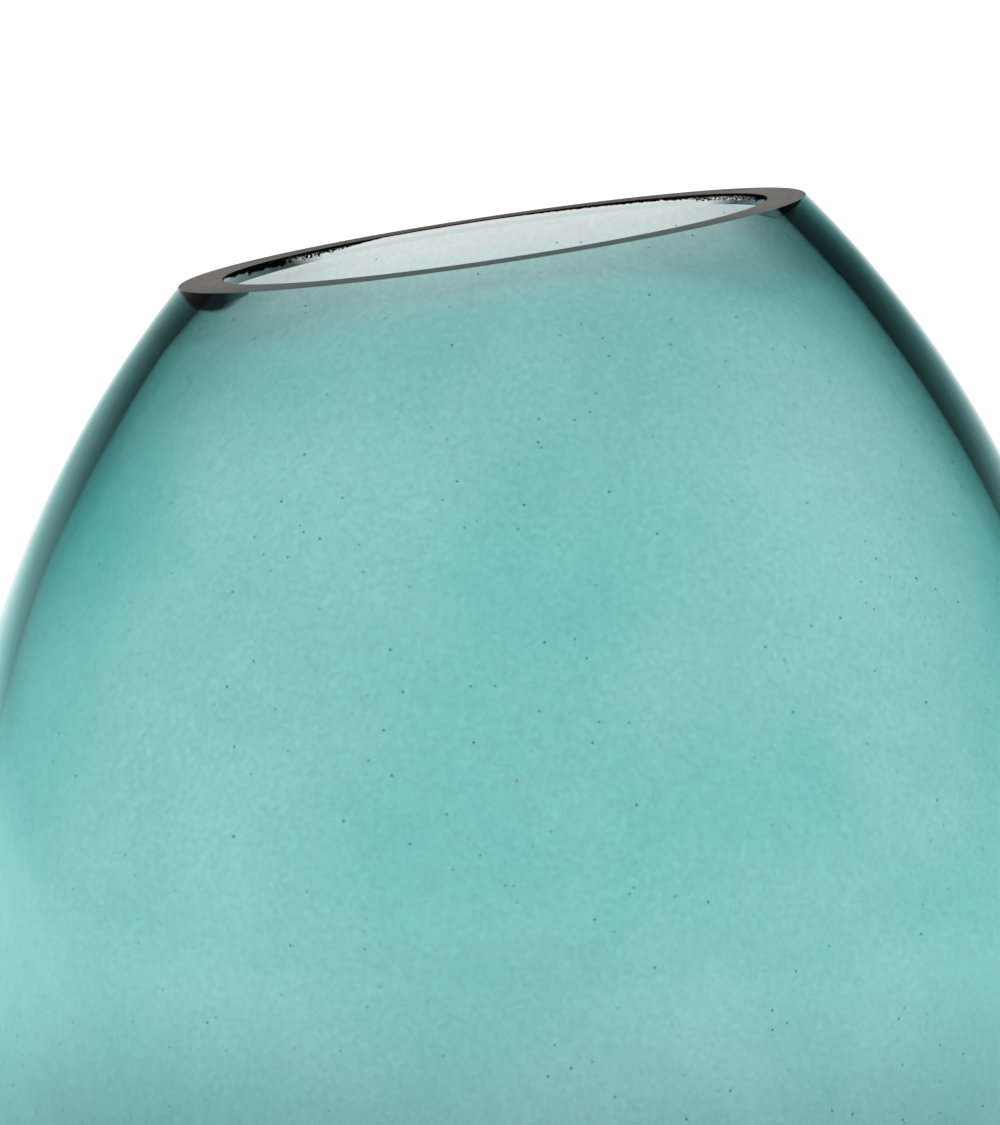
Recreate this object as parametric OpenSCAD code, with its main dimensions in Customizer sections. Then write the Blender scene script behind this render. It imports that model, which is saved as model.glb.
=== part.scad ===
// Hand blown cased glass vase with a wide belly and a slanted, ground mouth.
// Three layers of glass are fused one round the other: an inner bubble,
// a thin layer of colour, and an outer casing that is thickest at the base.
// Origin: centre of the base, on the surface that the vase stands on. +Z is up.
// The mouth rises towards +X.

/* [Body] */
// Height to the high side of the mouth
height = 250; // [244:1:260]
// Widest diameter, at the belly
belly_d = 225; // [218:1:236]
// Height of the widest point
belly_h = 101; // [98:1:105]
// Radius of the wall's curve from the belly up to the shoulder
belly_arc = 214; // [205:1:230]
// Lean of the wall, off vertical, where the belly's curve becomes the shoulder's
shoulder_lean = 26.4; // [24:0.2:29]
// Radius of the shoulder's curve
shoulder_arc = 193; // [185:1:205]
// Radius of the wall's curve from the belly down to the foot
lower_arc = 130; // [126:1:136]

/* [Mouth] */
// Slant of the ground mouth
mouth_slant = 8.5; // [4:0.1:12]

/* [Glass] */
// Thickness of the wall at the belly
wall = 5.2; // [4.6:0.1:6]
// Extra thickness that the wall gains as it leans in to the mouth
mouth_swell = 1.6; // [0:0.1:3]
// Extra thickness that the wall gains as it curves in to the foot
foot_swell = 10; // [8:0.5:12]
// Thickness of the outer casing at the belly
casing = 1.6; // [1.2:0.1:2]
// Extra thickness that the outer casing gains as it curves in to the foot
casing_swell = 6; // [4:0.5:7]
// Thickness of the colour layer
colour = 0.6; // [0.4:0.1:0.8]

/* [Base] */
// Thickness of the glass under the middle of the floor
floor_h = 14; // [12:0.5:16]
// Thickness of the inner bubble at the middle of the floor
bubble_floor = 3.8; // [3:0.1:4.4]
// Radius of the floor's dish
floor_arc = 220; // [180:5:300]
// Radius of the curve between floor and wall
floor_turn = 34; // [28:1:38]
// Radius of the edge round the flat foot
foot_turn = 4; // [2:0.5:6]
// Diameter of the polished hollow under the base
pontil_d = 44; // [30:1:60]
// Depth of the polished hollow
pontil_depth = 2.4; // [1:0.1:3]

/* [Hidden] */

belly_r = belly_d / 2;
round_steps = 180;
arc_steps = 14;
turn_steps = 8;
// The layers are drawn this far past the mouth and then cut to its slant
spare = 10;
cutter = 2 * belly_d;

// A point at angle a on the circle of radius r about c
function on_circle(c, r, a) = c + r * [cos(a), sin(a)];

// An arc without its first point, so that arcs join end to end
function arc(c, r, from, to, n) = [
    for (i = [1 : n]) on_circle(c, r, from + (to - from) * i / n)
];

// The angle of the line from a to b
function bearing(a, b) = atan2(b.y - a.y, b.x - a.x);

// The crossing of two circles that lies outwards of the line through their centres
function crossing(c1, r1, c2, r2) =
    let (
        gap = norm(c2 - c1),
        along = (c2 - c1) / gap,
        run = (gap * gap + r1 * r1 - r2 * r2) / (2 * gap),
        out = sqrt(r1 * r1 - run * run)
    )
    c1 + run * along + out * [along.y, -along.x];

// Radius and centre of the curve below the belly, at a depth inside the glass
function low_r(depth, swell) = lower_arc - depth - swell;
function low_c(depth, swell) = [belly_r - depth - low_r(depth, swell), belly_h];

// Radius and centre of the belly's and the shoulder's curves, at a depth inside the glass
function belly_cr(depth, swell) = belly_arc - depth - swell;
function belly_c(depth, swell) = [belly_r - depth - belly_cr(depth, swell), belly_h];
function shoulder_r(depth, swell) = shoulder_arc - depth - swell;
function shoulder_c(depth, swell) = on_circle(
    belly_c(depth, swell),
    belly_cr(depth, swell) - shoulder_r(depth, swell),
    shoulder_lean
);

// Lean of the outer wall at the end of the layers, past the mouth
top_lean = asin((height + spare - shoulder_c(0, 0).y) / shoulder_r(0, 0));

// The wall's curve from the belly up, at a depth inside the glass
function upper_curve(depth, swell) = concat(
    arc(belly_c(depth, swell), belly_cr(depth, swell), 0, shoulder_lean, arc_steps),
    arc(shoulder_c(depth, swell), shoulder_r(depth, swell), shoulder_lean, top_lean, arc_steps)
);

// The outside of the vase: flat foot, rounded edge, wall
foot_c = [
    low_c(0, 0).x + sqrt(pow(lower_arc - foot_turn, 2) - pow(belly_h - foot_turn, 2)),
    foot_turn
];
outside = concat(
    [[0, 0], [foot_c.x, 0]],
    arc(foot_c, foot_turn, -90, bearing(low_c(0, 0), foot_c), turn_steps),
    arc(low_c(0, 0), lower_arc, bearing(low_c(0, 0), foot_c), 0, arc_steps),
    upper_curve(0, 0)
);

// A surface inside the glass: dished floor, turn, wall. dish and turn are its radii
function inside(depth, swell, low_swell, bottom, dish, turn) =
    let (
        dish_c = [0, bottom + dish],
        low_centre = low_c(depth, low_swell),
        low_radius = low_r(depth, low_swell),
        turn_c = crossing(low_centre, low_radius - turn, dish_c, dish - turn),
        dish_end = bearing(dish_c, turn_c),
        turn_end = bearing(low_centre, turn_c)
    )
    concat(
        [[0, bottom]],
        arc(dish_c, dish, -90, dish_end, turn_steps),
        arc(turn_c, turn, dish_end, turn_end, turn_steps),
        arc(low_centre, low_radius, turn_end, 0, arc_steps),
        upper_curve(depth, swell)
    );

cavity = inside(wall, mouth_swell, foot_swell, floor_h, floor_arc, floor_turn);
bubble_outside = inside(
    casing + colour, 0, casing_swell,
    floor_h - bubble_floor,
    floor_arc + bubble_floor,
    floor_turn + bubble_floor
);
colour_outside = inside(
    casing, 0, casing_swell,
    floor_h - bubble_floor - colour,
    floor_arc + bubble_floor + colour,
    floor_turn + bubble_floor + colour
);

function reversed(points) = [for (i = [len(points) - 1 : -1 : 0]) points[i]];

// The glass between two surfaces, turned about the vase's axis
module turned_layer(outer, inner) {
    rotate_extrude($fn = round_steps)
        polygon(concat(outer, reversed(inner)));
}

// Everything above the slanted plane of the mouth
module above_mouth() {
    high_r = on_circle(shoulder_c(0, 0), shoulder_r(0, 0),
        asin((height - shoulder_c(0, 0).y) / shoulder_r(0, 0))).x;
    translate([high_r, 0, height])
        rotate([0, -mouth_slant, 0])
            translate([-cutter, -cutter / 2, 0])
                cube([2 * cutter, cutter, cutter]);
}

// The polished hollow under the base, part of a ball
module pontil_hollow() {
    ball_r = (pow(pontil_d / 2, 2) + pow(pontil_depth, 2)) / (2 * pontil_depth);
    translate([0, 0, pontil_depth - ball_r])
        sphere(r = ball_r, $fn = round_steps);
}

// First gather, blown into a bubble: the wall that the cavity has
module inner_bubble() {
    color([0.72, 0.76, 0.75, 0.6])
        difference() {
            turned_layer(bubble_outside, cavity);
            above_mouth();
        }
}

// Thin layer of teal powder colour, fused on to the bubble
module colour_layer() {
    color([0.25, 0.62, 0.60, 0.7])
        difference() {
            turned_layer(colour_outside, bubble_outside);
            above_mouth();
        }
}

// Last gather, over the colour: the outer wall, the thick base and the flat foot
module outer_casing() {
    color([0.62, 0.86, 0.84, 0.5])
        difference() {
            turned_layer(outside, colour_outside);
            above_mouth();
            pontil_hollow();
        }
}

inner_bubble();
colour_layer();
outer_casing();
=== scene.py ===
import math

import bpy
import numpy as np
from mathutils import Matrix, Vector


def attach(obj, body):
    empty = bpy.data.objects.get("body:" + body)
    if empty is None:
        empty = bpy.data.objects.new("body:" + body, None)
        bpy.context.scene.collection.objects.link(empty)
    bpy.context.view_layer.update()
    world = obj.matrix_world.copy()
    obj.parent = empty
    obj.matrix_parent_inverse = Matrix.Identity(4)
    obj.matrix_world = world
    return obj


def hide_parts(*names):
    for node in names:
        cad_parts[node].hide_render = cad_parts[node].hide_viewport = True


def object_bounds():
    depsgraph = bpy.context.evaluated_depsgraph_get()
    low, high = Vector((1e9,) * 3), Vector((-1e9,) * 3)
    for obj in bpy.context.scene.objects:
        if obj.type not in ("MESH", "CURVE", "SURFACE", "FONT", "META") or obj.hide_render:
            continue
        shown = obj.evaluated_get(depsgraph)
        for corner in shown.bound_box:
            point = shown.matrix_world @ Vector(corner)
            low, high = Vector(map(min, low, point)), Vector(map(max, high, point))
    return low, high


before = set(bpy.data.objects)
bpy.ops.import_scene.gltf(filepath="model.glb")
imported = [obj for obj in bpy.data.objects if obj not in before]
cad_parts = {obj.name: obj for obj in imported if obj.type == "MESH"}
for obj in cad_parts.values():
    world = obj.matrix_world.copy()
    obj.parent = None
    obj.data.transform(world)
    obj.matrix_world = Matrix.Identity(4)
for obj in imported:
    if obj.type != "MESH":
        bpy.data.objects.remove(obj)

# A cased glass vase with a slanted, ground mouth. Its three fused layers are closed solids turned
# on the vase's axis: an outer casing, a thin colour layer and an inner bubble.
cad_low, cad_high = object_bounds()

# ---------------------------------------------------------------- dimensions
# Metres. The wall's curves are the CAD model's own.
MM = 0.001
HEIGHT = cad_high.z - cad_low.z
BELLY_R = (cad_high.x - cad_low.x) / 2
BELLY_H = 101 * MM
BELLY_ARC = 214 * MM
SHOULDER_LEAN = math.radians(26.4)
SHOULDER_ARC = 193 * MM
LOWER_ARC = 130 * MM
MOUTH_SLOPE = math.tan(math.radians(8.5))

WALL = 5.2 * MM
MOUTH_SWELL = 1.6 * MM
FOOT_SWELL = 10 * MM
CASING = 1.6 * MM
CASING_SWELL = 6 * MM
COLOUR = 0.6 * MM
FUSED_GAP = 0.02 * MM      # keeps the faces of fused layers apart, so that rays meet them in order

FLOOR_H = 14 * MM
BUBBLE_FLOOR = 3.8 * MM
FLOOR_ARC = 220 * MM
FLOOR_TURN = 34 * MM
FOOT_TURN = 4 * MM
PONTIL_R = 22 * MM
PONTIL_DEPTH = 2.4 * MM
PONTIL_EDGE = 0.4 * MM     # width and depth of the soft edge between the hollow and the flat foot
PONTIL_EDGE_H = 0.12 * MM

AROUND = 384               # points round a ring
# rings on the low wall, the belly and the shoulder: outside, on the cavity, and on a fused face
OUTER_STEPS = (34, 40, 34)
CAVITY_STEPS = (22, 28, 36)
FUSED_STEPS = (22, 20, 20)
FLOOR_STEPS = (18, 14)     # rings on a floor's dish, and on the turn up from it
PONTIL_STEPS = 12
OUTER_ARRIS = 0.35 * MM    # how far the mouth's soft outer and inner edges reach
INNER_ARRIS = 0.3 * MM
CHIP_DEPTH = 0.5 * MM      # of the nicks along the mouth's inner edge
# width of the rough strip below the mouth's inner edge, in millimetres, at each angle in degrees
# about the mouth's middle. The strip is widest at the two ends of the mouth's far half.
STRIP = (
    (0, 0.5), (18, 1.7), (34, 1.6), (52, 0.6), (74, 0.3), (90, 0.03), (115, 0.03), (130, 1.8),
    (150, 2.2), (174, 0.6), (195, 0.3), (345, 0.3), (360, 0.5),
)
STRIP_CLEAR = 3.6 * MM     # a distance below the mouth that is past the whole strip
STRIP_RAGGED = 0.3         # share of its width by which its lower edge wanders


# ---------------------------------------------------------------- wall curves
class Wall:
    """The wall's curve at a depth inside the glass. A point on it is named by its lean off vertical."""

    def __init__(self, depth, swell=0.0, low_swell=0.0):
        low_r = LOWER_ARC - depth - low_swell
        belly_r = BELLY_ARC - depth - swell
        shoulder_r = SHOULDER_ARC - depth - swell
        belly_x = BELLY_R - depth - belly_r
        step = belly_r - shoulder_r
        self.low = (BELLY_R - depth - low_r, BELLY_H, low_r)
        self.belly = (belly_x, BELLY_H, belly_r)
        self.shoulder = (
            belly_x + step * math.cos(SHOULDER_LEAN),
            BELLY_H + step * math.sin(SHOULDER_LEAN),
            shoulder_r,
        )

    def at(self, lean):
        """Radius and height at each lean."""
        lean = np.asarray(lean, float)
        arcs = np.where(
            lean[..., None] < 0,
            self.low,
            np.where(lean[..., None] < SHOULDER_LEAN, self.belly, self.shoulder),
        )
        return arcs[..., 0] + arcs[..., 2] * np.cos(lean), arcs[..., 1] + arcs[..., 2] * np.sin(lean)

    def mouth_lean(self, phi):
        """The lean at which the wall meets the slanted mouth, at each angle round the vase."""
        low = np.full(phi.shape, SHOULDER_LEAN)
        high = np.full(phi.shape, math.radians(60))
        for _ in range(50):
            lean = (low + high) / 2
            r, z = self.at(lean)
            below = z < mouth_height(r, phi)
            low = np.where(below, lean, low)
            high = np.where(below, high, lean)
        return (low + high) / 2


outer_wall = Wall(0)
high_lean = math.asin((HEIGHT - outer_wall.shoulder[1]) / outer_wall.shoulder[2])
HIGH_R = float(outer_wall.at(high_lean)[0])
MOUTH_H = HEIGHT - HIGH_R * MOUTH_SLOPE


def mouth_height(r, phi):
    """Height of the mouth's slanted plane."""
    return MOUTH_H + MOUTH_SLOPE * r * np.cos(phi)


colour_wall = Wall(CASING, 0, CASING_SWELL)
bubble_wall = Wall(CASING + COLOUR, 0, CASING_SWELL)
cavity_wall = Wall(WALL, MOUTH_SWELL, FOOT_SWELL)


# ---------------------------------------------------------------- ring helpers
def angles(count):
    return np.arange(count) * 2 * math.pi / count


def ring(r, z, phi):
    """Points at radius r and height z, at each angle."""
    r = np.broadcast_to(r, phi.shape)
    z = np.broadcast_to(z, phi.shape)
    return np.stack([r * np.cos(phi), r * np.sin(phi), z], 1)


def waves(seed, count, shortest, longest):
    """Sums of sine waves: smooth, small unevenness that a hand leaves in hot glass."""
    rng = np.random.default_rng(seed)
    lengths = shortest + (longest - shortest) * rng.random(count)
    ways = rng.normal(size=(count, 3))
    ways *= (2 * math.pi / lengths / np.linalg.norm(ways, axis=1))[:, None]
    phases = rng.random(count) * 2 * math.pi

    def value(points):
        return np.sin(points @ ways.T + phases).sum(1) / count

    return value


outer_waves = waves(11, 9, 0.035, 0.12)
cavity_waves = waves(23, 9, 0.03, 0.11)
OUTER_UNEVEN = 0.22 * MM
CAVITY_UNEVEN = 0.34 * MM


def uneven(points, lean, kind):
    """Moves points into the glass a little, as the maker's tools leave them."""
    if kind is None:
        return points
    value, size, side = kind
    phi = np.arctan2(points[:, 1], points[:, 0])
    lean = np.broadcast_to(lean, phi.shape)
    normal = np.stack([np.cos(lean) * np.cos(phi), np.cos(lean) * np.sin(phi), np.sin(lean)], 1)
    return points - side * normal * (size * (0.5 + 0.5 * value(points)))[:, None]


OUTER_KIND = (outer_waves, OUTER_UNEVEN, 1)
CAVITY_KIND = (cavity_waves, CAVITY_UNEVEN, -1)


def arc_points(centre, radius, start, end, count):
    """(radius, height, lean) along an arc, without its first point."""
    out = []
    for i in range(1, count + 1):
        a = start + (end - start) * i / count
        out.append((centre[0] + radius * math.cos(a), centre[1] + radius * math.sin(a), a))
    return out


def crossing(c1, r1, c2, r2):
    """The outward crossing of two circles."""
    c1, c2 = np.array(c1), np.array(c2)
    gap = np.linalg.norm(c2 - c1)
    along = (c2 - c1) / gap
    run = (gap * gap + r1 * r1 - r2 * r2) / (2 * gap)
    out = math.sqrt(r1 * r1 - run * run)
    return c1 + run * along + out * np.array([along[1], -along[0]])


def bearing(a, b):
    return math.atan2(b[1] - a[1], b[0] - a[0])


def floor_points(wall, bottom, dish, turn):
    """(radius, height, lean) from the middle of a dished floor out to where the wall takes over."""
    dish_c = (0.0, bottom + dish)
    low_c, low_r = wall.low[:2], wall.low[2]
    turn_c = crossing(low_c, low_r - turn, dish_c, dish - turn)
    dish_end, turn_end = bearing(dish_c, turn_c), bearing(low_c, turn_c)
    dish_steps, turn_steps = FLOOR_STEPS
    points = arc_points(dish_c, dish, -math.pi / 2, dish_end, dish_steps)
    points += arc_points(turn_c, turn, dish_end, turn_end, turn_steps)
    return points, turn_end


def wall_rings(wall, start_lean, steps_low, steps_belly, phi, kind=None):
    """Rings up the wall, from start_lean to where the shoulder's curve begins."""
    leans = list(np.linspace(start_lean, 0, steps_low + 1)[1:])
    leans += list(np.linspace(0, SHOULDER_LEAN, steps_belly + 1)[1:])
    out = []
    for lean in leans:
        r, z = wall.at(lean)
        out.append(uneven(ring(r, z, phi), lean, kind))
    return out


def shoulder_rings(wall, steps, phi, kind=None, short_by=0.0):
    """Rings up the shoulder, to short_by before the mouth."""
    end = wall.mouth_lean(phi) - short_by / wall.shoulder[2]
    out = []
    for i in range(1, steps + 1):
        lean = SHOULDER_LEAN + (end - SHOULDER_LEAN) * i / steps
        r, z = wall.at(lean)
        # the unevenness dies away at the mouth, which is ground flat
        fade = min(1.0, (steps - i) / (0.25 * steps))
        points = ring(r, z, phi)
        out.append(points + fade * (uneven(points, lean, kind) - points))
    return out


def mouth_corner(wall, phi):
    """Where the wall meets the mouth's plane, with the wall's lean there."""
    lean = wall.mouth_lean(phi)
    r, z = wall.at(lean)
    return r, z, lean


def along_mouth(phi):
    """Unit step outwards along the mouth's plane, as radius and height, at each angle."""
    slope = MOUTH_SLOPE * np.cos(phi)
    size = np.sqrt(1 + slope * slope)
    return 1 / size, slope / size


def arris_rings(wall, phi, reach, steps, inward, nick=None):
    """Rings round a soft edge between wall and mouth, from the wall on to the mouth's plane."""
    r, z, lean = mouth_corner(wall, phi)
    out_r, out_z = along_mouth(phi)
    reach = reach * np.ones(phi.shape)
    a = np.stack([r + reach * np.sin(lean), z - reach * np.cos(lean)], 1)
    b = np.stack([r - inward * reach * out_r, z - inward * reach * out_z], 1)
    corner = np.stack([r, z], 1)
    rings = []
    for i in range(steps + 1):
        t = i / steps
        point = (1 - t) ** 2 * a + 2 * t * (1 - t) * corner + t * t * b
        if nick is not None:
            middle = (a + b) / 2
            into = middle - corner
            into /= np.linalg.norm(into, axis=1)[:, None]
            point = point + into * nick(phi, t)[:, None]
        rings.append(ring(point[:, 0], point[:, 1], phi))
    return rings


def blend_rings(first, last, steps):
    """Rings on straight lines from one ring to another, without the first."""
    return [first + (last - first) * i / steps for i in range(1, steps + 1)]


# ---------------------------------------------------------------- mesh builder
class Turned:
    """A closed solid turned on the vase's axis: rings of points, joined from pole to pole."""

    def __init__(self):
        self.points, self.faces, self.kinds, self.creases = [], [], [], []
        self.count = 0
        self.last = None

    def pole(self, height, kind=0):
        index = np.array([self.count])
        self.points.append(np.array([[0.0, 0.0, height]]))
        self.count += 1
        self._join(index, kind)
        self.last = index

    def ring(self, points, kind, crease=False):
        index = self.count + np.arange(len(points))
        self.points.append(points)
        self.count += len(points)
        self._join(index, kind)
        self.last = index
        if crease:
            self.crease()

    def rings(self, rings, kind):
        for points in rings:
            self.ring(points, kind)

    def crease(self):
        """Makes the last ring a sharp edge."""
        self.creases.append(np.stack([self.last, np.roll(self.last, -1)], 1))

    def _join(self, b, kind):
        a = self.last
        if a is None:
            return
        a2, b2 = np.roll(a, -1), np.roll(b, -1)
        if len(a) == 1:
            new = [(a[0], q, p) for p, q in zip(b, b2)]
        elif len(b) == 1:
            new = [(p, q, b[0]) for p, q in zip(a, a2)]
        elif len(a) == len(b):
            new = list(zip(a, a2, b2, b))
        elif len(b) == 2 * len(a):
            new = [(a[i], a2[i], b2[2 * i + 1], b[2 * i + 1]) for i in range(len(a))]
            new += [(a[i], b[2 * i + 1], b[2 * i]) for i in range(len(a))]
        else:
            new = [(a[2 * i], a[2 * i + 1], b[i]) for i in range(len(b))]
            new += [(a[2 * i + 1], a2[2 * i + 1], b2[i], b[i]) for i in range(len(b))]
        self.faces += [tuple(int(v) for v in f) for f in new]
        self.kinds += [kind] * len(new)

    def piece(self, name, materials):
        mesh = bpy.data.meshes.new(name)
        mesh.from_pydata(np.concatenate(self.points).tolist(), [], self.faces)
        mesh.polygons.foreach_set("material_index", np.array(self.kinds, dtype=np.int32))
        mesh.polygons.foreach_set("use_smooth", np.ones(len(self.faces), dtype=bool))
        if self.creases:
            sharp = {tuple(sorted(e)) for c in self.creases for e in c.tolist()}
            for edge in mesh.edges:
                if tuple(sorted(edge.vertices)) in sharp:
                    edge.use_edge_sharp = True
        for material in materials:
            mesh.materials.append(material)
        mesh.validate()
        piece = bpy.data.objects.new(name, mesh)
        bpy.context.scene.collection.objects.link(piece)
        return piece


# ---------------------------------------------------------------- materials
GLASS_IOR = 1.5
FUSED_IOR = 1.0            # light goes straight on between fused layers


def nodes_of(material):
    material.use_nodes = True
    tree = material.node_tree
    tree.nodes.clear()
    return tree


def add(tree, kind, **values):
    """A node, with its plain settings and its inputs' values."""
    node = tree.nodes.new(kind)
    for name, value in values.items():
        if name in node.inputs:
            node.inputs[name].default_value = value
        else:
            setattr(node, name, value)
    return node


def maths(tree, operation, a, b=None):
    node = tree.nodes.new("ShaderNodeMath")
    node.operation = operation
    for socket, value in zip(node.inputs, (a, b)):
        if value is None:
            continue
        if isinstance(value, (int, float)):
            socket.default_value = value
        else:
            tree.links.new(value, socket)
    return node.outputs[0]


def spread(tree, value, low, high, to_low=0.0, to_high=1.0, smooth=False):
    """A value carried from one range to another and held there."""
    node = tree.nodes.new("ShaderNodeMapRange")
    node.interpolation_type = "SMOOTHSTEP" if smooth else "LINEAR"
    tree.links.new(value, node.inputs["Value"])
    node.inputs["From Min"].default_value = low
    node.inputs["From Max"].default_value = high
    node.inputs["To Min"].default_value = to_low
    node.inputs["To Max"].default_value = to_high
    return node.outputs["Result"]


def colour_mix(tree, share, a, b, blend="MIX"):
    node = tree.nodes.new("ShaderNodeMix")
    node.data_type = "RGBA"
    node.blend_type = blend
    for socket, value in ((node.inputs[0], share), (node.inputs[6], a), (node.inputs[7], b)):
        if isinstance(value, bpy.types.NodeSocket):
            tree.links.new(value, socket)
        else:
            socket.default_value = value
    return node.outputs[2]


def noise(tree, place, scale, detail=2.0, roughness=0.5, distortion=0.0):
    node = tree.nodes.new("ShaderNodeTexNoise")
    node.inputs["Scale"].default_value = scale
    node.inputs["Detail"].default_value = detail
    node.inputs["Roughness"].default_value = roughness
    node.inputs["Distortion"].default_value = distortion
    tree.links.new(place, node.inputs["Vector"])
    return node.outputs["Fac"]


def glass_shader(tree, ior):
    """Clear, smooth glass, with the material's output."""
    out = tree.nodes.new("ShaderNodeOutputMaterial")
    shader = tree.nodes.new("ShaderNodeBsdfPrincipled")
    shader.inputs["IOR"].default_value = ior
    shader.inputs["Roughness"].default_value = 0.0
    shader.inputs["Transmission Weight"].default_value = 1.0
    tree.links.new(shader.outputs[0], out.inputs["Surface"])
    return shader, out


def object_place(tree):
    return tree.nodes.new("ShaderNodeTexCoord").outputs["Object"]


def depth_below_mouth(tree, place):
    """Height of the mouth's plane above each point, in metres."""
    parts = tree.nodes.new("ShaderNodeSeparateXYZ")
    tree.links.new(place, parts.inputs[0])
    plane = maths(tree, "MULTIPLY_ADD", parts.outputs["X"], MOUTH_SLOPE)
    plane.node.inputs[2].default_value = MOUTH_H
    return maths(tree, "SUBTRACT", plane, parts.outputs["Z"])


def colour_stops(tree, value, stops):
    """A colour ramp through (place, colour) stops."""
    ramp = tree.nodes.new("ShaderNodeValToRGB")
    elements = ramp.color_ramp.elements
    while len(elements) < len(stops):
        elements.new(0.5)
    for element, (at, colour) in zip(elements, stops):
        element.position = at
        element.color = (*colour, 1)
    tree.links.new(value, ramp.inputs[0])
    return ramp.outputs[0]


def seeds(tree, place, scale, size, chosen):
    """1 inside small scattered dots, 0 elsewhere."""
    cells = tree.nodes.new("ShaderNodeTexVoronoi")
    cells.inputs["Scale"].default_value = scale
    tree.links.new(place, cells.inputs["Vector"])
    pick = tree.nodes.new("ShaderNodeSeparateColor")
    tree.links.new(cells.outputs["Color"], pick.inputs[0])
    dot = spread(tree, cells.outputs["Distance"], size * 0.5, size, 1.0, 0.0)
    few = maths(tree, "LESS_THAN", pick.outputs[0], chosen)
    return maths(tree, "MULTIPLY", dot, few)


# tint of the casing at each depth below the mouth, as a share of the tint's reach, on the far side
# and the near side
TINT_REACH = 50 * MM
FAR_TINT = (
    (0.0, (0.80, 0.655, 0.65)),
    (0.06, (0.72, 0.64, 0.64)),
    (0.14, (0.535, 0.577, 0.575)),
    (0.22, (0.46, 0.52, 0.52)),
    (0.36, (0.37, 0.60, 0.595)),
)
NEAR_TINT = ((0.0, (0.70, 0.91, 0.89)), (0.14, (0.41, 0.74, 0.73)))
# where the powder lies thin or thick: place across and up in millimetres, reach, and how much paler
CLOUDS = (
    (62, 196, 42, 0.5),
    (-60, 200, 26, 0.24),
    (-34, 202, 26, 0.24),
    (-46, 186, 26, 0.12),
    (-62, 135, 42, 0.22),
    (-5, 216, 34, 0.24),
    (2, 190, 28, -0.26),
    (-14, 120, 36, -0.34),
    (-36, 146, 22, -0.1),
    (34, 164, 26, 0.12),
    (46, 222, 24, 0.12),
    (20, 118, 60, -0.16),
    (-86, 190, 25, -0.7),
    (-86, 112, 34, -0.2),
    (84, 104, 22, -0.3),
)
DENSE_TEAL = (0.19, 0.532, 0.51, 1)
THIN_TEAL = (0.45, 0.672, 0.67, 1)
SLANTING_TEAL = (0.11, 0.6, 0.59, 1)      # where the glass is seen at a slant
SEED_TINT = (0.02, 0.06, 0.06, 1)

# painted shade: a dark lens under the mouth's low end, on the near side, standing for the mouth's dark
# underside seen through the wall. Its middle, half its length, how far down it reaches, and where it
# fades away and is whole
DARK_LENS_X = -59.5 * MM
DARK_LENS_HALF = 7.5 * MM
DARK_LENS_DROP = 3.4 * MM
DARK_LENS_FADE = (-51 * MM, -57.5 * MM)
DARK_LENS_SHADE = (0.0008, 0.006, 0.009, 1)


def painted_dark_lens(tree, place):
    """1 in a lens of painted shade under the mouth's low end, on the near side, and 0 elsewhere."""
    parts = tree.nodes.new("ShaderNodeSeparateXYZ")
    tree.links.new(place, parts.inputs[0])
    across = maths(tree, "SUBTRACT", parts.outputs["X"], DARK_LENS_X)
    along = maths(tree, "MULTIPLY", across, 1 / DARK_LENS_HALF)
    bow = maths(tree, "MULTIPLY", maths(tree, "MULTIPLY", along, along), -DARK_LENS_DROP)
    edge = maths(tree, "ADD", bow, DARK_LENS_DROP)
    inside = maths(tree, "SUBTRACT", edge, depth_below_mouth(tree, place))
    lens = spread(tree, inside, -0.3 * MM, 0.5 * MM, smooth=True)
    faded = spread(tree, parts.outputs["X"], *DARK_LENS_FADE, smooth=True)
    near = maths(tree, "LESS_THAN", parts.outputs["Y"], 0.0)
    return maths(tree, "MULTIPLY", maths(tree, "MULTIPLY", lens, faded), near)


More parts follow.
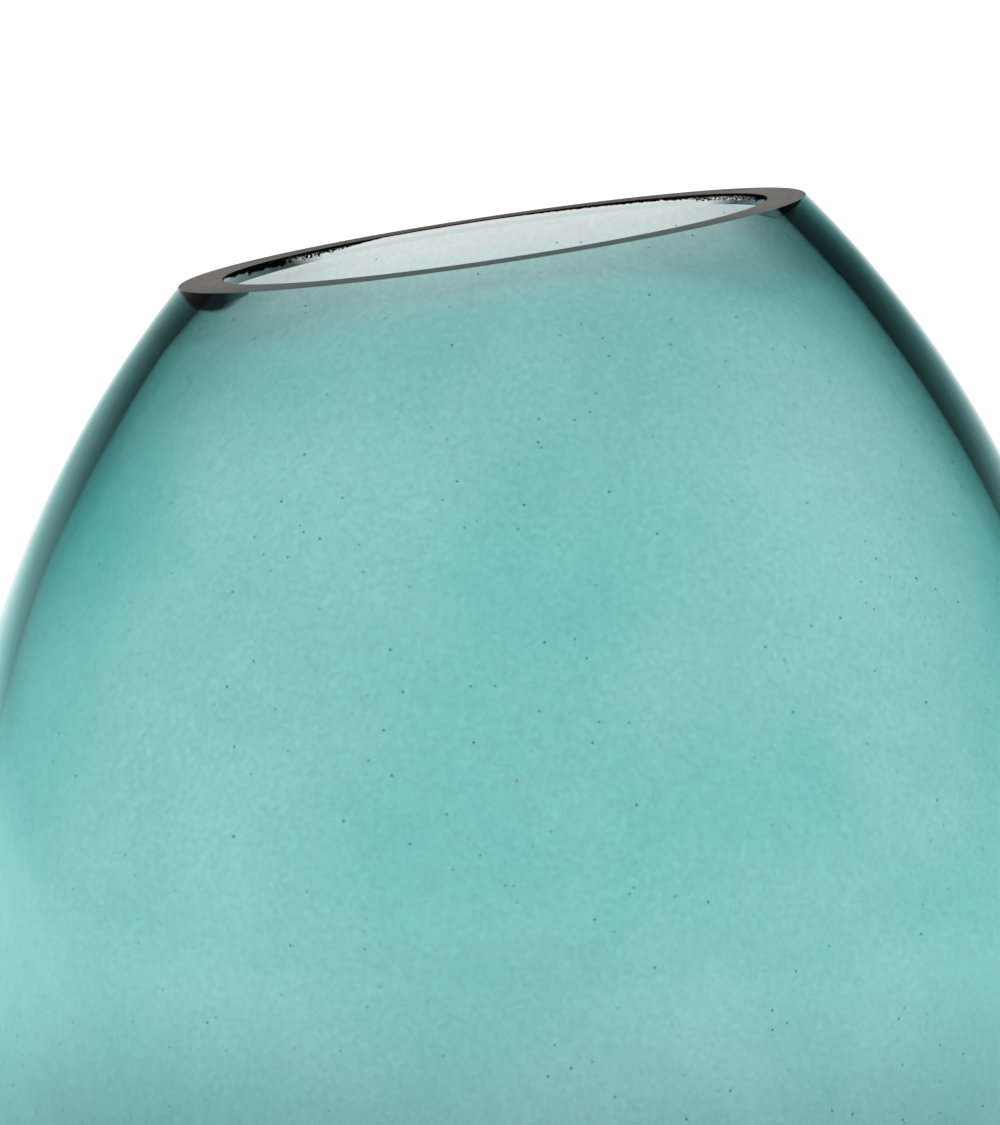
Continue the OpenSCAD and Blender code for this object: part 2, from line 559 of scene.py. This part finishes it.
def casing_glass():
    """Outer glass: teal, softly clouded, with fine grain and seeds, smokier close under the mouth."""
    material = bpy.data.materials.new("casing_glass")
    tree = nodes_of(material)
    shader, _ = glass_shader(tree, GLASS_IOR)
    place = object_place(tree)
    parts = tree.nodes.new("ShaderNodeSeparateXYZ")
    tree.links.new(place, parts.inputs[0])
    cloud = spread(tree, noise(tree, place, 30, 1.5, 0.45, 0.5), 0.3, 0.7, -0.17, 0.17)
    broad = spread(tree, noise(tree, place, 11, 1.0, 0.5, 0.3), 0.3, 0.7, 0.39, 0.61)
    cloud = maths(tree, "ADD", cloud, broad)
    for x, z, reach, paler in CLOUDS:
        across = maths(tree, "SUBTRACT", parts.outputs["X"], x * MM)
        up = maths(tree, "SUBTRACT", parts.outputs["Z"], z * MM)
        across = maths(tree, "MULTIPLY", across, across)
        up = maths(tree, "MULTIPLY", up, up)
        square = maths(tree, "ADD", across, up)
        patch = spread(tree, maths(tree, "SQRT", square), reach * MM, 0.0, 0.0, paler, smooth=True)
        cloud = maths(tree, "ADD", cloud, patch)
    teal = colour_mix(tree, cloud, DENSE_TEAL, THIN_TEAL)
    depth = maths(tree, "MULTIPLY", depth_below_mouth(tree, place), 1 / TINT_REACH)
    far = colour_stops(tree, depth, FAR_TINT)
    far = colour_mix(tree, spread(tree, depth, 0.3, 0.6, smooth=True), far, teal)
    near = colour_stops(tree, depth, NEAR_TINT)
    near = colour_mix(tree, spread(tree, depth, 0.08, 0.3, smooth=True), near, teal)
    tint = colour_mix(tree, spread(tree, parts.outputs["Y"], -15 * MM, 15 * MM, smooth=True), near, far)
    slanting = add(tree, "ShaderNodeLayerWeight", Blend=0.5)
    deep = spread(tree, slanting.outputs["Facing"], 0.35, 0.75, smooth=True)
    tint = colour_mix(tree, deep, tint, SLANTING_TEAL)
    # painted shade: the glass turns near black in a lens under the mouth's low end
    tint = colour_mix(tree, painted_dark_lens(tree, place), tint, DARK_LENS_SHADE)
    grain = spread(tree, noise(tree, place, 800, 3.0, 0.65), 0.3, 0.7, 0.925, 1.07)
    tint = colour_mix(tree, 1.0, tint, grain, "MULTIPLY")
    specks = spread(tree, noise(tree, place, 170, 3.0, 0.6), 0.3, 0.7, 0.98, 1.02)
    tint = colour_mix(tree, 1.0, tint, specks, "MULTIPLY")
    tint = colour_mix(tree, seeds(tree, place, 250, 0.08, 0.6), tint, SEED_TINT)
    tree.links.new(tint, shader.inputs["Base Color"])
    return material


SMOKE_TINTS = ((0.9, 0.925, 0.925, 1), (0.94, 0.955, 0.955, 1))


def bubble_glass():
    """Inner glass, where the cavity shows it: light smoke grey."""
    material = bpy.data.materials.new("bubble_glass")
    tree = nodes_of(material)
    shader, _ = glass_shader(tree, GLASS_IOR)
    place = object_place(tree)
    cloud = spread(tree, noise(tree, place, 18, 2.0), 0.3, 0.7)
    tint = colour_mix(tree, cloud, *SMOKE_TINTS)
    tree.links.new(tint, shader.inputs["Base Color"])
    return material


def fused_glass():
    """Where two layers are fused: nothing bends or shines there."""
    material = bpy.data.materials.new("fused_glass")
    tree = nodes_of(material)
    shader, _ = glass_shader(tree, FUSED_IOR)
    place = object_place(tree)
    grain = spread(tree, noise(tree, place, 300, 2.0), 0.3, 0.7, 0.985, 1.0)
    tint = colour_mix(tree, 1.0, (1, 1, 1, 1), grain, "MULTIPLY")
    tree.links.new(tint, shader.inputs["Base Color"])
    return material


# what the powder lets through over the length that light crosses it
POWDER_TEAL = (0.275, 0.864, 0.85, 1)
POWDER_DENSITY = 400.0


def powder_colour():
    """The colour layer: it tints by the length of glass that light crosses, and holds powder grain."""
    material = bpy.data.materials.new("powder_colour")
    tree = nodes_of(material)
    shader, out = glass_shader(tree, FUSED_IOR)
    place = object_place(tree)
    grain = spread(tree, noise(tree, place, 900, 3.0, 0.6), 0.25, 0.75, 0.96, 1.0)
    tint = colour_mix(tree, 1.0, (1, 1, 1, 1), grain, "MULTIPLY")
    tree.links.new(tint, shader.inputs["Base Color"])
    absorb = tree.nodes.new("ShaderNodeVolumeAbsorption")
    absorb.inputs["Color"].default_value = POWDER_TEAL
    absorb.inputs["Density"].default_value = POWDER_DENSITY
    tree.links.new(absorb.outputs[0], out.inputs["Volume"])
    return material


# the ground mouth is patchy, with painted shade on its near side, tinted teal by painted light that
# shows through the glass, and painted shade on its far side; the foot is pale
MOUTH_GREYS = ((0.2, 0.188, 0.171, 1), (0.255, 0.243, 0.226, 1))
NEAR_PAINTED_SHADE = (0.105, 0.145, 0.14, 1)
FAR_PAINTED_SHADE = (0.125, 0.12, 0.115, 1)
FOOT_GREY = (0.5, 0.52, 0.51, 1)
# where the painted shade of the near and the far side begins and is whole
NEAR_SHADE_REACH = (-10 * MM, -50 * MM)
FAR_SHADE_REACH = (25 * MM, 50 * MM)
# from inside the glass: the mouth's painted shade in black, its painted glow of backlight on the far
# side, and where that glow starts and stops
INSIDE_PAINTED_SHADE = (0.004, 0.005, 0.005, 1)
INSIDE_PAINTED_GLOW = (0.77, 0.765, 0.765, 1)
GLOW_START = (-48 * MM, -42 * MM)
GLOW_STOP = (40 * MM, 35 * MM)


def ground_glass():
    """The ground faces: matt and warm grey at the mouth, with painted shade on its near and far sides,
    paler at the finely ground foot.

    From inside the glass the mouth is painted black as shade, with a painted glow of backlight in the
    middle of its far side."""
    material = bpy.data.materials.new("ground_glass")
    tree = nodes_of(material)
    out = tree.nodes.new("ShaderNodeOutputMaterial")
    face = tree.nodes.new("ShaderNodeBsdfPrincipled")
    place = object_place(tree)
    parts = tree.nodes.new("ShaderNodeSeparateXYZ")
    tree.links.new(place, parts.inputs[0])
    x = parts.outputs["X"]
    y = parts.outputs["Y"]
    mouth = maths(tree, "GREATER_THAN", parts.outputs["Z"], BELLY_H)
    foot = maths(tree, "LESS_THAN", parts.outputs["Z"], BELLY_H)
    patch = spread(tree, noise(tree, place, 60, 3.0, 0.55), 0.3, 0.7)
    fine = spread(tree, noise(tree, place, 1800, 2.0), 0.3, 0.7, 0.9, 1.1)
    tint = colour_mix(tree, patch, *MOUTH_GREYS)
    tint = colour_mix(tree, foot, tint, FOOT_GREY)
    # painted shade on the mouth's near side, tinted teal by light through the glass, and on its far
    # side
    near = maths(tree, "MULTIPLY", spread(tree, y, *NEAR_SHADE_REACH), mouth)
    tint = colour_mix(tree, near, tint, NEAR_PAINTED_SHADE)
    far = maths(tree, "MULTIPLY", spread(tree, y, *FAR_SHADE_REACH), mouth)
    tint = colour_mix(tree, far, tint, FAR_PAINTED_SHADE)
    tint = colour_mix(tree, 1.0, tint, fine, "MULTIPLY")
    tree.links.new(tint, face.inputs["Base Color"])
    face.inputs["Roughness"].default_value = 0.6
    face.inputs["Specular IOR Level"].default_value = 0.3
    bump = tree.nodes.new("ShaderNodeBump")
    bump.inputs["Strength"].default_value = 0.25
    bump.inputs["Distance"].default_value = 0.00005
    tree.links.new(noise(tree, place, 2500, 3.0, 0.6), bump.inputs["Height"])
    tree.links.new(bump.outputs[0], face.inputs["Normal"])

    # painted shade and light: seen from inside the glass the mouth is black, and glows pale in the
    # middle of its far side as if backlit
    inside = add(tree, "ShaderNodeBsdfPrincipled", Roughness=0.5)
    inside.inputs["Base Color"].default_value = INSIDE_PAINTED_SHADE
    inside.inputs["Specular IOR Level"].default_value = 0.0
    inside.inputs["Emission Color"].default_value = INSIDE_PAINTED_GLOW
    between = maths(tree, "MULTIPLY", spread(tree, x, *GLOW_START), spread(tree, x, *GLOW_STOP))
    light = maths(tree, "MULTIPLY", between, maths(tree, "GREATER_THAN", y, 0.0))
    tree.links.new(light, inside.inputs["Emission Strength"])
    side = tree.nodes.new("ShaderNodeNewGeometry")
    mix = tree.nodes.new("ShaderNodeMixShader")
    tree.links.new(maths(tree, "MULTIPLY", side.outputs["Backfacing"], mouth), mix.inputs[0])
    tree.links.new(face.outputs[0], mix.inputs[1])
    tree.links.new(inside.outputs[0], mix.inputs[2])
    tree.links.new(mix.outputs[0], out.inputs["Surface"])
    return material


# painted shade: the rough strip below the mouth's inner edge is near black
STRIP_SHADE_BLACKS = ((0.004, 0.004, 0.004, 1), (0.02, 0.018, 0.016, 1))
# painted glints of bright chips lie below the strip's top, and within a distance of the mouth's middle
CHIP_GLINTS = (0.95, 0.97, 0.97, 1)
GLINTS_LOW = (0.5 * MM, 1.0 * MM)
GLINTS_MIDDLE = -3 * MM
GLINTS_ASIDE = (45 * MM, 41 * MM)


def rough_edge_shade_glints():
    """The rough strip below the mouth's inner edge: painted black as shade, with painted glints for
    bright chips.
    """
    material = bpy.data.materials.new("rough_edge_shade_glints")
    tree = nodes_of(material)
    out = tree.nodes.new("ShaderNodeOutputMaterial")
    face = tree.nodes.new("ShaderNodeBsdfPrincipled")
    place = object_place(tree)
    parts = tree.nodes.new("ShaderNodeSeparateXYZ")
    tree.links.new(place, parts.inputs[0])
    # painted shade: the strip's near-black colour
    shade = spread(tree, noise(tree, place, 900, 3.0, 0.6), 0.3, 0.7)
    tint = colour_mix(tree, shade, *STRIP_SHADE_BLACKS)
    tree.links.new(tint, face.inputs["Base Color"])
    face.inputs["Roughness"].default_value = 0.5
    face.inputs["Specular IOR Level"].default_value = 0.0
    bump = tree.nodes.new("ShaderNodeBump")
    bump.inputs["Strength"].default_value = 0.5
    bump.inputs["Distance"].default_value = 0.0001
    tree.links.new(noise(tree, place, 1500, 3.0, 0.6), bump.inputs["Height"])
    tree.links.new(bump.outputs[0], face.inputs["Normal"])
    # painted glints: small specks glow where chips would catch light
    glint = spread(tree, noise(tree, place, 2300, 2.0, 0.6), 0.54, 0.58)
    low = spread(tree, depth_below_mouth(tree, place), *GLINTS_LOW)
    aside = maths(tree, "ABSOLUTE", maths(tree, "SUBTRACT", parts.outputs["X"], GLINTS_MIDDLE))
    glint = maths(tree, "MULTIPLY", glint, low)
    glint = maths(tree, "MULTIPLY", glint, spread(tree, aside, *GLINTS_ASIDE))
    glint = maths(tree, "MULTIPLY", glint, maths(tree, "GREATER_THAN", parts.outputs["Y"], 0.0))
    face.inputs["Emission Color"].default_value = CHIP_GLINTS
    tree.links.new(glint, face.inputs["Emission Strength"])
    tree.links.new(face.outputs[0], out.inputs["Surface"])
    return material


# ---------------------------------------------------------------- pieces
def ride(piece, node):
    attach(piece, "root")
    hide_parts(node)


def pontil_points():
    """(radius, height) of the polished hollow under the base, from its middle outwards."""
    ball_r = (PONTIL_R ** 2 + PONTIL_DEPTH ** 2) / (2 * PONTIL_DEPTH)
    points = []
    for i in range(1, PONTIL_STEPS + 1):
        r = PONTIL_R * i / PONTIL_STEPS
        points.append((r, math.sqrt(ball_r ** 2 - r ** 2) - (ball_r - PONTIL_DEPTH)))
    return points


def inside_rings(solid, wall, bottom, dish, turn, phi, kind, going_up):
    """Floor and wall of a fused face inside the glass, without its edge at the mouth."""
    points, lean = floor_points(wall, bottom, dish, turn)
    rings = [ring(r, z, phi) for r, z, _ in points]
    low_steps, belly_steps, shoulder_steps = FUSED_STEPS
    rings += wall_rings(wall, lean, low_steps, belly_steps, phi)
    rings += shoulder_rings(wall, shoulder_steps, phi)[:-1]
    solid.rings(rings if going_up else rings[::-1], kind)


def make_casing(materials):
    """Outer casing: polished hollow, ground foot, outer wall, ground mouth, fused inner face."""
    glass, ground, fused = 0, 1, 2
    phi, fine = angles(AROUND), angles(2 * AROUND)
    solid = Turned()
    solid.pole(PONTIL_DEPTH)
    for r, z in pontil_points()[:-1]:
        solid.ring(ring(r, z, phi), glass)
    solid.ring(ring(PONTIL_R, PONTIL_EDGE_H, phi), glass)
    foot_inner = ring(PONTIL_R + PONTIL_EDGE, 0.0, phi)
    solid.ring(foot_inner, glass, crease=True)
    foot_r = outer_wall.low[0] + math.sqrt((LOWER_ARC - FOOT_TURN) ** 2 - (BELLY_H - FOOT_TURN) ** 2)
    solid.rings(blend_rings(foot_inner, ring(foot_r, 0.0, phi), 8), ground)
    solid.crease()
    foot_c = (foot_r, FOOT_TURN)
    foot_lean = bearing(outer_wall.low, foot_c)
    for r, z, a in arc_points(foot_c, FOOT_TURN, -math.pi / 2, foot_lean, 10):
        solid.ring(ring(r, z, phi), glass)
    low_steps, belly_steps, shoulder_steps = OUTER_STEPS
    solid.rings(wall_rings(outer_wall, foot_lean, low_steps, belly_steps, phi, OUTER_KIND), glass)
    solid.rings(shoulder_rings(outer_wall, shoulder_steps, phi, OUTER_KIND, OUTER_ARRIS * 3), glass)
    arris = arris_rings(outer_wall, fine, OUTER_ARRIS, 5, 1)
    solid.ring(arris[0], glass, crease=True)
    solid.rings(arris[1:], ground)
    solid.crease()
    r, z, _ = mouth_corner(outer_wall, phi)
    out_r, out_z = along_mouth(phi)
    start = ring(r - 1.5 * OUTER_ARRIS * out_r, z - 1.5 * OUTER_ARRIS * out_z, phi)
    r, z, _ = mouth_corner(colour_wall, phi)
    end = ring(r, z, phi)
    solid.ring(start, ground)
    solid.rings(blend_rings(start, end, 2), ground)
    solid.crease()
    inside_rings(
        solid, colour_wall, FLOOR_H - BUBBLE_FLOOR - COLOUR,
        FLOOR_ARC + BUBBLE_FLOOR + COLOUR, FLOOR_TURN + BUBBLE_FLOOR + COLOUR,
        phi, fused, going_up=False,
    )
    solid.pole(FLOOR_H - BUBBLE_FLOOR - COLOUR, fused)
    return solid.piece("outer_casing_glass", materials)


def make_colour(materials):
    """Colour layer: a thin skin between bubble and casing."""
    colour, ground = 0, 1
    phi = angles(AROUND)
    outside = Wall(CASING + FUSED_GAP, 0, CASING_SWELL)
    inside = Wall(CASING + COLOUR - FUSED_GAP, 0, CASING_SWELL)
    solid = Turned()
    low = FLOOR_H - BUBBLE_FLOOR - COLOUR + FUSED_GAP
    solid.pole(low)
    span = BUBBLE_FLOOR + COLOUR - FUSED_GAP
    inside_rings(solid, outside, low, FLOOR_ARC + span, FLOOR_TURN + span, phi, colour, going_up=True)
    r, z, _ = mouth_corner(outside, phi)
    solid.ring(ring(r, z, phi), colour, crease=True)
    r, z, _ = mouth_corner(inside, phi)
    solid.ring(ring(r, z, phi), ground, crease=True)
    high = FLOOR_H - BUBBLE_FLOOR - FUSED_GAP
    span = BUBBLE_FLOOR + FUSED_GAP
    inside_rings(solid, inside, high, FLOOR_ARC + span, FLOOR_TURN + span, phi, colour, going_up=False)
    solid.pole(high, colour)
    return solid.piece("colour_layer_glass", materials)


def chips(seed, size):
    """Small chips that grinding leaves along the mouth's inner edge."""
    rng = np.random.default_rng(seed)
    fine = rng.random(4 * AROUND)
    coarse = rng.random(AROUND)

    def nick(phi, t):
        u = phi / (2 * math.pi)
        a = np.interp(u * len(fine), np.arange(len(fine) + 1), np.append(fine, fine[0]))
        b = np.interp(u * len(coarse), np.arange(len(coarse) + 1), np.append(coarse, coarse[0]))
        depth = np.clip(0.55 * a + 0.75 * b - 0.6, 0, None)
        return size * depth * 4 * t * (1 - t)

    return nick


def wall_below(wall, mouth_lean, phi, drop):
    """Points on a wall at a distance down it from the mouth."""
    r, z = wall.at(mouth_lean - drop / wall.shoulder[2])
    return ring(r, z, phi)


def strip_width(points, seed):
    """Width of the rough strip at each of the points round the mouth's inner edge."""
    middle = (points[:, 0].max() + points[:, 0].min()) / 2
    angle = np.degrees(np.arctan2(points[:, 1], points[:, 0] - middle)) % 360
    width = np.interp(angle, [at for at, _ in STRIP], [size * MM for _, size in STRIP])
    ragged = np.random.default_rng(seed).normal(size=len(points))
    ragged = (ragged + np.roll(ragged, 1) + np.roll(ragged, 2)) / 3
    return width * np.clip(1 + STRIP_RAGGED * ragged, 0.3, 1.4)


def make_bubble(materials):
    """Inner bubble: fused outer face, ground mouth, chipped inner edge over a rough strip, cavity."""
    glass, ground, fused, rough = 0, 1, 2, 3
    phi, fine, finest = angles(AROUND), angles(2 * AROUND), angles(4 * AROUND)
    solid = Turned()
    bottom = FLOOR_H - BUBBLE_FLOOR
    solid.pole(bottom)
    inside_rings(
        solid, bubble_wall, bottom, FLOOR_ARC + BUBBLE_FLOOR, FLOOR_TURN + BUBBLE_FLOOR,
        phi, fused, going_up=True,
    )
    r, z, _ = mouth_corner(bubble_wall, phi)
    first = ring(r, z, phi)
    solid.ring(first, fused, crease=True)
    r, z, _ = mouth_corner(cavity_wall, phi)
    out_r, out_z = along_mouth(phi)
    last = ring(r + 3 * INNER_ARRIS * out_r, z + 3 * INNER_ARRIS * out_z, phi)
    solid.rings(blend_rings(first, last, 3), ground)
    r, z, _ = mouth_corner(cavity_wall, fine)
    out_r, out_z = along_mouth(fine)
    solid.ring(ring(r + 2 * INNER_ARRIS * out_r, z + 2 * INNER_ARRIS * out_z, fine), ground)
    edge = arris_rings(cavity_wall, finest, INNER_ARRIS, 6, -1, chips(5, CHIP_DEPTH))[::-1]
    solid.ring(edge[0], ground, crease=True)
    solid.rings(edge[1:], rough)
    lean = cavity_wall.mouth_lean(finest)
    width = strip_width(edge[-1], 7)
    for share in (0.5, 1.0):
        solid.ring(wall_below(cavity_wall, lean, finest, INNER_ARRIS + share * width), rough)
    solid.crease()
    lean = cavity_wall.mouth_lean(fine)
    solid.ring(wall_below(cavity_wall, lean, fine, STRIP_CLEAR), glass)
    low_steps, belly_steps, shoulder_steps = CAVITY_STEPS
    shoulder = shoulder_rings(cavity_wall, shoulder_steps, phi, CAVITY_KIND, 1.3 * STRIP_CLEAR)
    solid.rings(shoulder[::-1], glass)
    points, lean = floor_points(cavity_wall, FLOOR_H, FLOOR_ARC, FLOOR_TURN)
    lower = [uneven(ring(r, z, phi), a, CAVITY_KIND) for r, z, a in points]
    lower += wall_rings(cavity_wall, lean, low_steps, belly_steps, phi, CAVITY_KIND)
    solid.rings(lower[::-1], glass)
    solid.pole(FLOOR_H, glass)
    return solid.piece("inner_bubble_glass", materials)


# ---------------------------------------------------------------- studio
# brightness of the studio at each height above the horizon, in degrees: straight behind the vase,
# to either side of that, and all round the rest
BEHIND = (
    (-90, 0.81), (0, 0.81), (2, 0.77), (5, 0.52), (9, 0.32), (15, 0.15),
    (24, 0.03), (45, 0.0), (90, 0.4),
)
ASIDE = (
    (-90, 0.77), (0, 0.77), (3, 0.38), (7, 0.15), (10, 0.07), (15, 0.03),
    (28, 0.013), (45, 0.02), (90, 0.4),
)
ALL_ROUND = (
    (-90, 0.79), (0, 0.79), (5, 0.62), (12, 0.36), (25, 0.15),
    (50, 0.14), (90, 0.4),
)
# degrees off straight behind over which the first gives way to the second, and that to the third
TURN_ASIDE = (5, 19)
TURN_ROUND = (42, 80)
# how many times brighter the left is beyond the vase, and where that comes in: over the parts of
# a direction that point sideways and ahead, and over its degrees above the horizon
LEFT_FILL = 1.8
LEFT_REACH = (-0.05, -0.4)
LEFT_AHEAD = (0.3, 0.65)
LEFT_LIFT = (2, 9)
# brightness of the glowing floor at each distance from the vase, in metres, with painted shadow that
# darkens it close round the vase
FLOOR_GLOW_AND_SHADOW = (
    (0, 0.2), (0.12, 0.5), (0.3, 0.68), (0.45, 0.86), (0.6, 1.0), (0.9, 1.09), (2, 1.15),
    (3, 1.07), (6, 1.0), (12, 0.88), (30, 0.8),
)


def grey_stops(tree, value, stops):
    """A grey ramp through (place, brightness) stops, from the first place to the last."""
    start, end = stops[0][0], stops[-1][0]
    share = spread(tree, value, start, end)
    ramp = [((at - start) / (end - start), (grey,) * 3) for at, grey in stops]
    return colour_stops(tree, share, ramp)


def make_world():
    """Soft light from all round the horizon, brightest straight behind the vase, that fades upwards."""
    world = bpy.data.worlds.new("studio")
    bpy.context.scene.world = world
    world.use_nodes = True
    tree = world.node_tree
    tree.nodes.clear()
    out = tree.nodes.new("ShaderNodeOutputWorld")
    back = tree.nodes.new("ShaderNodeBackground")
    way = tree.nodes.new("ShaderNodeSeparateXYZ")
    tree.links.new(tree.nodes.new("ShaderNodeTexCoord").outputs["Generated"], way.inputs[0])
    to_degrees = 180 / math.pi
    lift = maths(tree, "MULTIPLY", maths(tree, "ARCSINE", way.outputs["Z"]), to_degrees)
    turn = maths(tree, "ARCTAN2", maths(tree, "ABSOLUTE", way.outputs["X"]), way.outputs["Y"])
    turn = maths(tree, "MULTIPLY", turn, to_degrees)
    behind, aside, around = (grey_stops(tree, lift, stops) for stops in (BEHIND, ASIDE, ALL_ROUND))
    light = colour_mix(tree, spread(tree, turn, *TURN_ASIDE, smooth=True), behind, aside)
    light = colour_mix(tree, spread(tree, turn, *TURN_ROUND, smooth=True), light, around)
    # beyond the vase, the left is brighter than the right above the horizon
    left = spread(tree, way.outputs["X"], *LEFT_REACH, smooth=True)
    ahead = spread(tree, way.outputs["Y"], *LEFT_AHEAD, smooth=True)
    above = spread(tree, lift, *LEFT_LIFT, smooth=True)
    fill = maths(tree, "MULTIPLY", maths(tree, "MULTIPLY", left, ahead), above)
    fill = spread(tree, fill, 0.0, 1.0, 1.0, LEFT_FILL)
    light = colour_mix(tree, 1.0, light, fill, "MULTIPLY")
    tree.links.new(light, back.inputs["Color"])
    tree.links.new(back.outputs[0], out.inputs["Surface"])


FLOOR_R = FLOOR_GLOW_AND_SHADOW[-1][0]
FLOOR_CORNERS = 96
FLOOR_DROP = 0.05 * MM     # keeps the floor off the foot's underside


def make_floor():
    """A pale floor that glows like a light table, with painted shadow close round the vase. From below
    it is clear, so that it hides nothing.
    """
    corners = ring(FLOOR_R, cad_low.z - FLOOR_DROP, angles(FLOOR_CORNERS))
    mesh = bpy.data.meshes.new("floor")
    mesh.from_pydata(corners.tolist(), [], [tuple(range(FLOOR_CORNERS))])
    floor = bpy.data.objects.new("floor", mesh)
    bpy.context.scene.collection.objects.link(floor)
    material = bpy.data.materials.new("pale_floor")
    tree = nodes_of(material)
    out = tree.nodes.new("ShaderNodeOutputMaterial")
    face = tree.nodes.new("ShaderNodeBsdfPrincipled")
    face.inputs["Base Color"].default_value = (0.2, 0.2, 0.2, 1)
    face.inputs["Roughness"].default_value = 1.0
    face.inputs["Specular IOR Level"].default_value = 0.0
    away = tree.nodes.new("ShaderNodeVectorMath")
    away.operation = "LENGTH"
    tree.links.new(object_place(tree), away.inputs[0])
    # the power gives the stops near the vase more room on the ramp
    share = maths(tree, "MULTIPLY", away.outputs["Value"], 1 / FLOOR_R)
    share = maths(tree, "POWER", share, 0.25)
    # painted shadow: the floor glows less close round the vase and least under it
    stops = [((at / FLOOR_R) ** 0.25, (value,) * 3) for at, value in FLOOR_GLOW_AND_SHADOW]
    tree.links.new(colour_stops(tree, share, stops), face.inputs["Emission Color"])
    face.inputs["Emission Strength"].default_value = 1.0
    side = tree.nodes.new("ShaderNodeNewGeometry")
    mix = tree.nodes.new("ShaderNodeMixShader")
    tree.links.new(side.outputs["Backfacing"], mix.inputs[0])
    tree.links.new(face.outputs[0], mix.inputs[1])
    tree.links.new(tree.nodes.new("ShaderNodeBsdfTransparent").outputs[0], mix.inputs[2])
    tree.links.new(mix.outputs[0], out.inputs["Surface"])
    mesh.materials.append(material)


LIGHT_WIDTH = 2.4
LIGHT_HEIGHT = 2.2
LIGHT_POWER = 30.0


def make_lights():
    """One wide soft light overhead. Glass doesn't mirror it or show it."""
    data = bpy.data.lights.new("overhead", "AREA")
    data.shape = "DISK"
    data.size = LIGHT_WIDTH
    data.energy = LIGHT_POWER
    light = bpy.data.objects.new("overhead", data)
    light.location = (0, 0, LIGHT_HEIGHT)
    light.visible_camera = False
    light.visible_glossy = False
    light.visible_transmission = False
    bpy.context.scene.collection.objects.link(light)


# the photograph's view: the camera looks down a little at a point off the vase's axis
CAMERA_LENS = 271.7
CAMERA_LIFT = math.radians(6.546)
CAMERA_DISTANCE = 1.6
AIM_X = -6.56 * MM
AIM_H = 180.07 * MM


def make_camera():
    """Close on the shoulder and mouth, from slightly above, through a long lens."""
    data = bpy.data.cameras.new("camera")
    data.sensor_width = 36.0
    data.lens = CAMERA_LENS
    camera = bpy.data.objects.new("camera", data)
    out = CAMERA_DISTANCE * math.cos(CAMERA_LIFT)
    up = CAMERA_DISTANCE * math.sin(CAMERA_LIFT)
    camera.location = (AIM_X, -out, cad_low.z + AIM_H + up)
    camera.rotation_euler = (math.pi / 2 - CAMERA_LIFT, 0, 0)
    bpy.context.scene.collection.objects.link(camera)
    bpy.context.scene.camera = camera


def set_light_paths():
    """Plain colours, and enough bounces for light to cross two walls of three layers."""
    scene = bpy.context.scene
    scene.view_settings.view_transform = "Standard"
    scene.cycles.max_bounces = 48
    scene.cycles.transmission_bounces = 48
    scene.cycles.glossy_bounces = 24
    scene.cycles.transparent_max_bounces = 24


make_camera()
make_world()
make_floor()
make_lights()
set_light_paths()

ground, fused = ground_glass(), fused_glass()
casing = make_casing([casing_glass(), ground, fused])
colour = make_colour([powder_colour(), ground])
bubble = make_bubble([bubble_glass(), ground, fused, rough_edge_shade_glints()])
ride(casing, "outer_casing")
ride(colour, "colour_layer")
ride(bubble, "inner_bubble")
